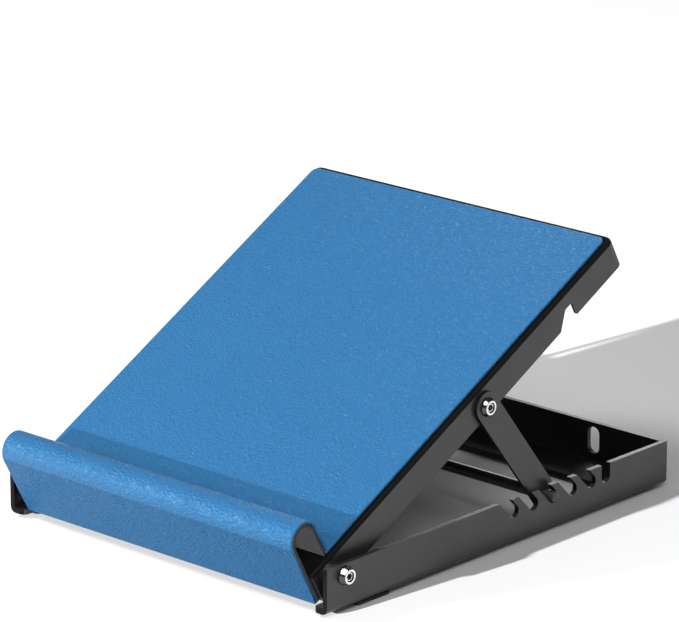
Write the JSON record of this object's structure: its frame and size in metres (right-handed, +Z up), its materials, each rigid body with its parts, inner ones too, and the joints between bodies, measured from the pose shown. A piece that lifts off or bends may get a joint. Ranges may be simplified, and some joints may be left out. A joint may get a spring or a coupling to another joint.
{
  "type": "slant board",
  "caption": "Folding slant board: notched steel base, padded tilting deck with a bent heel stop, and struts whose lock bar drops into the rail notches to set the angle.",
  "frame": {"origin": "on the floor, at the middle of the board's footprint in both directions", "axes": "+X across the board to the right as seen from the heel stop, +Y from the heel stop to the high end, +Z up"},
  "size_m": [0.3756, 0.4541, 0.235],
  "materials": {
    "paint": "black powder coat, satin",
    "cover": "blue, finely pebbled, matt",
    "rubber": "black, matt",
    "chrome": "polished",
    "zinc": "zinc plated",
    "bar": "black, semi-gloss"
  },
  "bodies": {
    "base": {"base_rail_left": "paint", "base_rail_right": "paint", "base_rear_panel": "paint", "foot_front_left": "rubber", "foot_front_right": "rubber", "foot_rear_left": "rubber", "foot_rear_right": "rubber", "hinge_bolt_left": "chrome", "hinge_bolt_right": "chrome", "hinge_bush_left": "zinc", "hinge_bush_right": "zinc", "hinge_washer_left": "zinc", "hinge_washer_right": "zinc", "hinge_nut_left": "zinc", "hinge_nut_right": "zinc"},
    "deck": {"deck_plate": "paint", "deck_cover": "cover", "heel_stop": "paint", "heel_cover": "cover", "strut_bolt_left": "chrome", "strut_bolt_right": "chrome", "strut_washer_left": "zinc", "strut_washer_right": "zinc", "strut_nut_left": "zinc", "strut_nut_right": "zinc"},
    "strut": {"strut_left": "paint", "strut_right": "paint", "lock_bar": "bar"}
  },
  "joints": [
    {"name": "deck_tilt", "type": "hinge", "parent": "base", "child": "deck", "pos_m": [0, -0.18171, 0.032], "axis": [1, 0, 0], "range_deg": [-27.5, 6]},
    {"name": "strut_swing", "type": "hinge", "parent": "deck", "child": "strut", "pos_m": [0, 0.00042, 0.12616], "axis": [1, 0, 0], "range_deg": [-17.3, 79.2]}
  ],
  "couplings": [
    {"joint": "strut_swing", "follows": "deck_tilt", "ratio": -2.8772}
  ]
}
